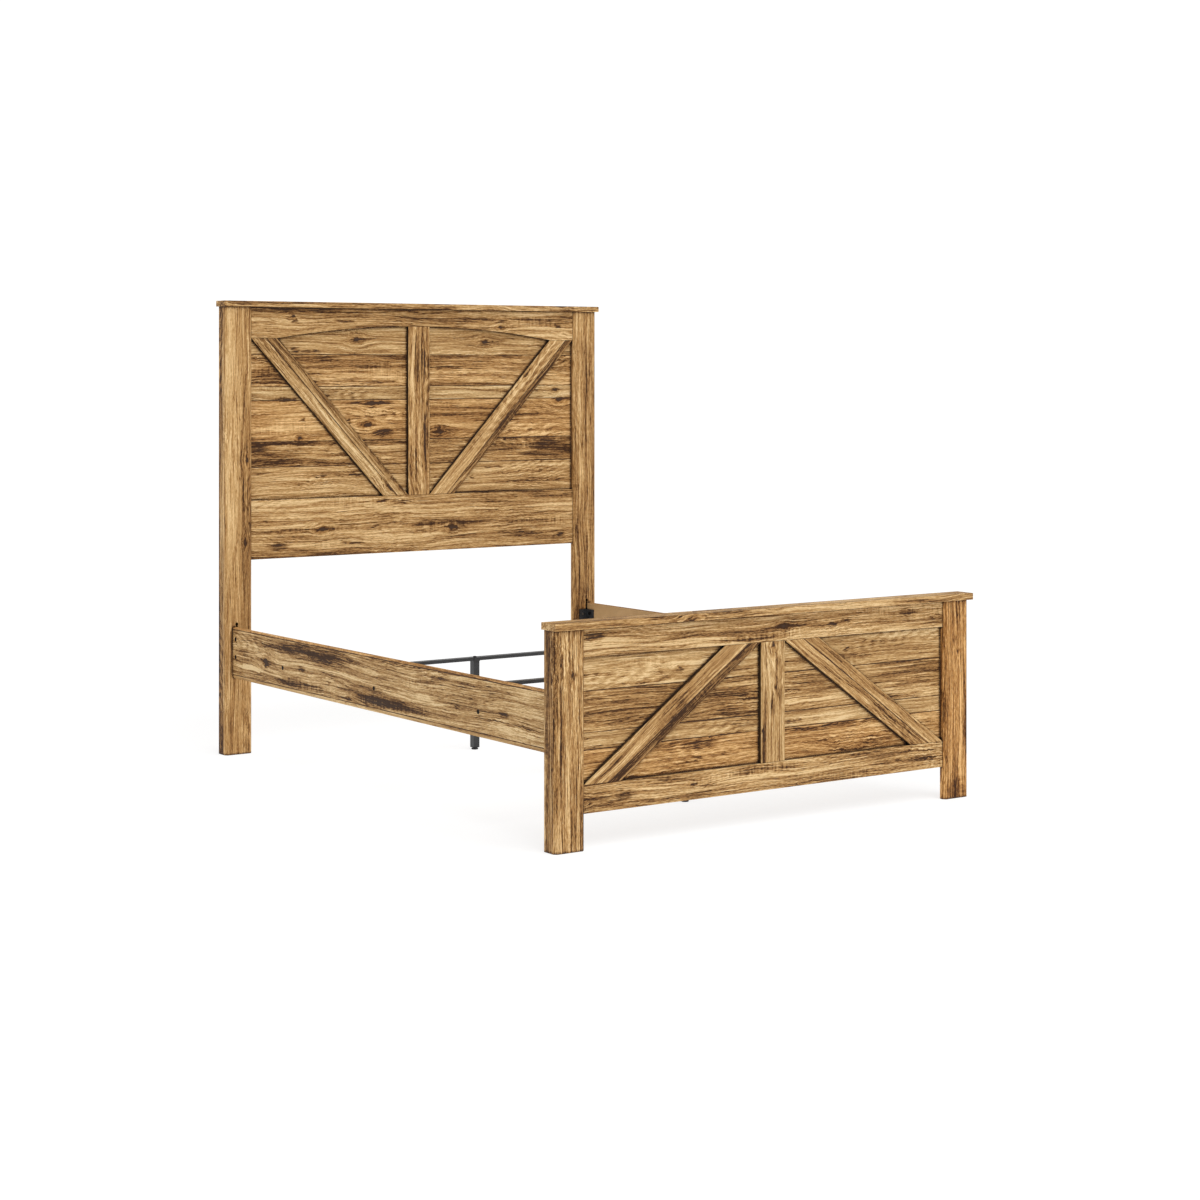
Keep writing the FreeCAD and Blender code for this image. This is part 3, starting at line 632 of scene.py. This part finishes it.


# Every printed board, with the print's main knots, streaks and saw marks placed

BOARDS = [
    crosswise("head_cap", planks=one_plank(0.55), plain_back=False, edges=1.0),
    crosswise(
        "head_top_rail",
        planks=one_plank(0.61),
        marks=(
            (-0.45, 1.626, 0.32, 0.012, 0.5),
            (0.08, 1.628, 0.35, 0.008, 0.3),
            (-0.535, 1.580, 0.018, 0.010, 0.6),
            (0.37, 1.590, 0.018, 0.010, 0.6),
            (0.64, 1.575, 0.018, 0.010, 0.5),
            (-0.355, 1.582, 0.10, 0.008, 0.5),
            (0.40, 1.598, 0.33, 0.005, 0.35),
        ),
    ),
    crosswise(
        "head_panel",
        planks=planks_between(
            "head_panel",
            (1.043, 1.136, 1.289, 1.340, 1.459),
            (
                (0.66, 0.2, 0.9),
                (0.38, 0.3, 1.1),
                (0.64, 0.5, 0.9),
                (0.72, 0.0, 0.9),
                (0.47, 0.4, 1.1),
                (0.70, 0.1, 0.8),
            ),
        ),
        marks=(
            (-0.53, 1.477, 0.022, 0.014, 0.6),
            (-0.47, 1.470, 0.07, 0.006, 0.45),
            (-0.275, 1.51, 0.06, 0.016, 0.2),
            (-0.62, 1.38, 0.10, 0.05, 0.25),
            (-0.3, 1.352, 0.30, 0.012, 0.35),
            (0.2, 1.395, 0.25, 0.006, -0.4),
            (-0.56, 1.292, 0.07, 0.008, 0.6),
            (-0.4, 1.305, 0.016, 0.009, 0.5),
            (-0.22, 1.278, 0.14, 0.010, 0.55),
            (0.67, 1.288, 0.05, 0.006, 0.5),
            (-0.49, 1.215, 0.014, 0.012, 0.5),
            (-0.295, 1.208, 0.012, 0.014, 0.5),
            (-0.155, 1.165, 0.055, 0.020, 0.6),
            (0.095, 1.175, 0.012, 0.010, 0.5),
            (0.425, 1.205, 0.012, 0.010, 0.5),
            (0.425, 1.165, 0.014, 0.008, 0.5),
            (-0.68, 1.115, 0.05, 0.020, 0.5),
            (-0.58, 1.13, 0.14, 0.008, 0.4),
            (0.6, 1.112, 0.10, 0.014, 0.5),
            (0.49, 1.085, 0.06, 0.02, -0.3),
            (-0.41, 1.003, 0.014, 0.009, 0.5),
            (0.245, 0.985, 0.014, 0.009, 0.5),
            (-0.275, 1.005, 0.045, 0.005, 0.5),
            (0.38, 1.022, 0.15, 0.004, 0.45),
        ),
    ),
    crosswise(
        "head_bottom_rail",
        planks=one_plank(0.60),
        marks=(
            (-0.44, 0.865, 0.09, 0.015, 0.15),
            (-0.16, 0.905, 0.035, 0.008, 0.5),
            (-0.075, 0.895, 0.03, 0.005, 0.4),
            (-0.6, 0.75, 0.05, 0.018, 0.5),
            (-0.325, 0.758, 0.022, 0.008, 0.7),
            (-0.275, 0.752, 0.05, 0.005, 0.5),
            (0.655, 0.745, 0.02, 0.012, 0.5),
        ),
        sawn=(
            (0.12, 0.806, 0.20, 0.018, 0.9),
            (-0.45, 0.806, 0.27, 0.010, 0.6),
            (0.5, 0.806, 0.20, 0.010, 0.5),
        ),
    ),
    upright(
        "head_stile",
        planks=one_plank(0.38, 0.3, 0.95),
        marks=(
            (-0.03, 1.3, 0.35, 0.014, -0.3),
            (0.022, 1.25, 0.36, 0.020, 0.2),
            (0.02, 1.42, 0.12, 0.010, 0.4),
            (0.03, 1.15, 0.14, 0.010, 0.4),
            (-0.012, 1.05, 0.07, 0.006, 0.35),
        ),
        edges=OVERLAY_EDGES,
    ),
    upright("head_post_left_front", planks=one_plank(0.64, 0.3, 0.8), knots=0.08, edges=1.0),
    upright("head_post_right_front", planks=one_plank(0.52, 0.3, 0.9), knots=0.08, edges=1.0),
    post_side("head", "left", 0.25),
    post_side("head", "right", 0.45),
    brace("head", "left", planks=((0.0, 0.52, 0.0, 0.9), (0.55, 0.48, 0.0, 0.9)), knots=0.3),
    brace(
        "head",
        "right",
        planks=((0.0, 0.20, 0.1, 0.9), (0.30, 0.66, 0.2, 0.8)),
        sawn=((0.4, 1.2, 0.1, 0.04, 0.5),),
    ),
    crosswise("foot_cap", planks=one_plank(0.46), plain_back=False, edges=1.0),
    crosswise(
        "foot_top_rail",
        planks=one_plank(0.70, 0.2, 1.15),
        marks=(
            (-0.675, 0.62, 0.045, 0.018, 0.6),
            (0.24, 0.60, 0.016, 0.010, 0.5),
            (0.3, 0.612, 0.020, 0.008, 0.7),
            (0.56, 0.622, 0.05, 0.012, 0.5),
        ),
        sawn=((-0.05, 0.578, 0.22, 0.012, 0.8),),
    ),
    crosswise(
        "foot_panel",
        planks=planks_between(
            "foot_panel",
            (0.290, 0.340, 0.463),
            ((0.59, 0.6, 1.0), (0.74, 0.1, 0.85), (0.49, 0.2, 1.0), (0.70, 0.1, 0.85)),
        ),
        marks=(
            (-0.41, 0.50, 0.07, 0.018, 0.2),
            (-0.35, 0.505, 0.014, 0.010, 0.5),
            (0.31, 0.515, 0.014, 0.010, 0.5),
            (0.045, 0.485, 0.02, 0.005, 0.4),
            (-0.15, 0.40, 0.14, 0.04, 0.25),
            (0.15, 0.40, 0.12, 0.04, 0.2),
            (0.09, 0.308, 0.055, 0.006, 0.6),
            (-0.275, 0.268, 0.08, 0.016, 0.55),
            (0.2, 0.28, 0.18, 0.005, 0.45),
            (-0.28, 0.225, 0.014, 0.010, 0.5),
        ),
    ),
    crosswise(
        "foot_bottom_rail",
        planks=one_plank(0.58, 0.2, 1.15),
        marks=(
            (-0.565, 0.145, 0.03, 0.014, 0.5),
            (-0.31, 0.15, 0.022, 0.008, 0.7),
            (-0.26, 0.145, 0.05, 0.005, 0.5),
            (0.56, 0.14, 0.14, 0.010, 0.4),
            (0.665, 0.14, 0.018, 0.010, 0.5),
        ),
        sawn=((-0.03, 0.172, 0.18, 0.016, 0.8),),
    ),
    upright(
        "foot_stile",
        planks=one_plank(0.58, 0.1, 0.85),
        marks=((-0.04, 0.285, 0.014, 0.010, 0.6), (0.0, 0.365, 0.05, 0.010, 0.4)),
        edges=OVERLAY_EDGES,
    ),
    upright(
        "foot_post_left_front",
        planks=one_plank(0.31, 0.3, 1.15),
        marks=(
            (-0.795, 0.55, 0.04, 0.006, 0.6),
            (-0.753, 0.515, 0.014, 0.010, 0.6),
            (-0.80, 0.30, 0.20, 0.006, 0.4),
        ),
        knots=0.1,
        edges=1.0,
    ),
    upright(
        "foot_post_right_front",
        planks=one_plank(0.56, 1.0, 1.2),
        marks=((0.774, 0.48, 0.014, 0.010, 0.6), (0.766, 0.03, 0.05, 0.05, 0.3)),
        knots=0.1,
        edges=1.0,
    ),
    post_side("foot", "left", 0.38),
    post_side("foot", "right", 0.45),
    brace(
        "foot",
        "left",
        planks=((0.0, 0.14, 0.1, 0.9), (0.34, 0.66, 0.2, 0.8)),
        sawn=((-0.38, 0.38, 0.1, 0.04, 0.5),),
    ),
    brace("foot", "right", planks=((0.0, 0.62, 0.2, 0.8), (0.55, 0.60, 0.2, 0.8)), knots=0.1),
    side_rail("left"),
    side_rail("right"),
]


def dress(node, material):
    """Gives a CAD node its material."""
    slots = nodes[node].data.materials
    slots.clear()
    slots.append(material)


for index, board in enumerate(BOARDS):
    dress(board.node, board_material(board, index * BOARD_SHIFT))


# The plain boards and the hardware

SKIN_PATCHES = ((35, 35, 35), 3, 0.6)  # noise features a metre, detail and roughness
SKIN_SHADES = (0.82, 1.18)  # the darker and lighter patches, as shares of the colour
SKIN_GLOSS = 0.08  # how far a patch's roughness strays


def tan_material():
    """The plain tan boards behind the printed ones."""
    material, tree = new_material("plain_tan_board")
    tan, fleck = plain_tan(tree, object_place(tree))
    gloss = {"Specular_IOR_Level": PAPER_SPECULAR}
    finish_material(tree, tan, PAPER_ROUGHNESS, fleck, PAPER_RELIEF, **gloss)
    return material


def skinned_material(name, colour, roughness, metallic, grain, relief, specular=0.5):
    """Painted or plated steel, plastic or plain wood: a fine skin and uneven gloss over one colour.
    grain is the skin's features a metre, and relief its depth in metres."""
    material, tree = new_material(name)
    place = object_place(tree)
    skin = noise(tree, place, (grain, grain, grain), 2, 0.6)
    patches = noise(tree, place, *SKIN_PATCHES)
    shades = [linear([byte * change for byte in colour]) for change in SKIN_SHADES]
    shade = ramp(tree, patches, zip(NOISE_RANGE, shades))
    spread = (roughness - SKIN_GLOSS, roughness + SKIN_GLOSS)
    rough = smooth_step(tree, patches, *NOISE_RANGE, *spread)
    gloss = {"Metallic": metallic, "Specular_IOR_Level": specular}
    finish_material(tree, shade, rough, skin, relief, **gloss)
    return material


# The record's other material slots: colour, roughness, metallic, grain, relief, and specular
# where it isn't the usual
SKINS = {
    "black_steel": ((42, 43, 45), 0.36, 0.0, 1400, 0.00006),
    "black_fasteners": ((13, 13, 14), 0.55, 0.0, 900, 0.00003, 0.12),
    "zinc_fasteners": ((170, 170, 172), 0.32, 1.0, 700, 0.00003),
    "black_plastic": ((28, 28, 29), 0.5, 0.0, 2200, 0.00004),
    "beech_dowel": ((196, 156, 110), 0.6, 0.0, 900, 0.0001),
}
slot_materials = {"plain_tan_board": tan_material()}
for slot, skin in SKINS.items():
    slot_materials[slot] = skinned_material(slot, *skin)
printed_nodes = {board.node for board in BOARDS}
for subpart in frame["record"]["subparts"]:
    if subpart["node"] not in printed_nodes:
        dress(subpart["node"], slot_materials[subpart["material_slot"]])


# The studio

FLOOR_REACH = 60.0
FLOOR_SHADE = 0.36  # how much of the light on it the floor sends back
FLOOR_GLOW = 0.72  # the floor's own light, which keeps the shadows pale
WORLD_LIGHT = 0.62  # the world's strength as a light
WORLD_SEEN = 1.1  # and as the camera sees it
KEY_DIRECTION = (-0.05, 0.5, -0.8)
KEY_STRENGTH = 1.3
KEY_SPREAD = 50  # degrees

# The camera fitted to the photo
CAMERA_PLACE = (-4.659, -6.8037, 1.4176)
CAMERA_TURN = -35.05  # degrees about the upright
CAMERA_LENS = 71.26  # millimetres
CAMERA_SENSOR = 36.0  # millimetres wide
CAMERA_SHIFT = (-0.0013, -0.1953)
CAMERA_CLIP = 300.0  # beyond the floor's far corner


def make_floor():
    """A pale floor that glows a little, so that it joins the white behind it."""
    reach = FLOOR_REACH
    outline = [(-reach, -reach, 0), (reach, -reach, 0), (reach, reach, 0), (-reach, reach, 0)]
    mesh = bpy.data.meshes.new("studio_floor")
    mesh.from_pydata(outline, [], [(0, 1, 2, 3)])
    floor = bpy.data.objects.new("studio_floor", mesh)
    bpy.context.scene.collection.objects.link(floor)
    material, tree = new_material("studio_floor")
    inputs = {
        "Base Color": (FLOOR_SHADE, FLOOR_SHADE, FLOOR_SHADE, 1.0),
        "Roughness": 0.9,
        "Emission Color": (1.0, 1.0, 1.0, 1.0),
        "Emission Strength": FLOOR_GLOW,
        "Specular IOR Level": 0.0,
    }
    shader = add_node(tree, "ShaderNodeBsdfPrincipled", inputs)
    output = tree.nodes.new("ShaderNodeOutputMaterial")
    tree.links.new(shader.outputs[0], output.inputs["Surface"])
    mesh.materials.append(material)


def make_world():
    """White behind everything; dimmer as a light, so that the key light shapes the boards."""
    world = bpy.data.worlds.new("studio")
    world.use_nodes = True
    tree = world.node_tree
    tree.nodes.clear()
    seen = tree.nodes.new("ShaderNodeLightPath").outputs["Is Camera Ray"]
    strength = smooth_step(tree, seen, 0.0, 1.0, WORLD_LIGHT, WORLD_SEEN)
    shade = add_node(tree, "ShaderNodeBackground", {"Color": (1, 1, 1, 1), "Strength": strength})
    output = tree.nodes.new("ShaderNodeOutputWorld")
    tree.links.new(shade.outputs[0], output.inputs["Surface"])
    bpy.context.scene.world = world


def make_key_light():
    """One wide soft light, from above and from the foot of the bed."""
    light = bpy.data.lights.new("key", "SUN")
    light.energy = KEY_STRENGTH
    light.angle = math.radians(KEY_SPREAD)
    holder = bpy.data.objects.new("key", light)
    holder.rotation_euler = Vector(KEY_DIRECTION).to_track_quat("-Z", "Y").to_euler()
    bpy.context.scene.collection.objects.link(holder)


def make_camera():
    """A level camera at the photo's place."""
    camera = bpy.data.cameras.new("camera")
    camera.sensor_width = CAMERA_SENSOR
    camera.lens = CAMERA_LENS
    camera.shift_x, camera.shift_y = CAMERA_SHIFT
    camera.clip_end = CAMERA_CLIP
    holder = bpy.data.objects.new("camera", camera)
    holder.location = CAMERA_PLACE
    holder.rotation_euler = (math.radians(90), 0, math.radians(CAMERA_TURN))
    bpy.context.scene.collection.objects.link(holder)
    bpy.context.scene.camera = holder


make_floor()
make_world()
make_key_light()
make_camera()
bpy.context.scene.view_settings.view_transform = "Standard"
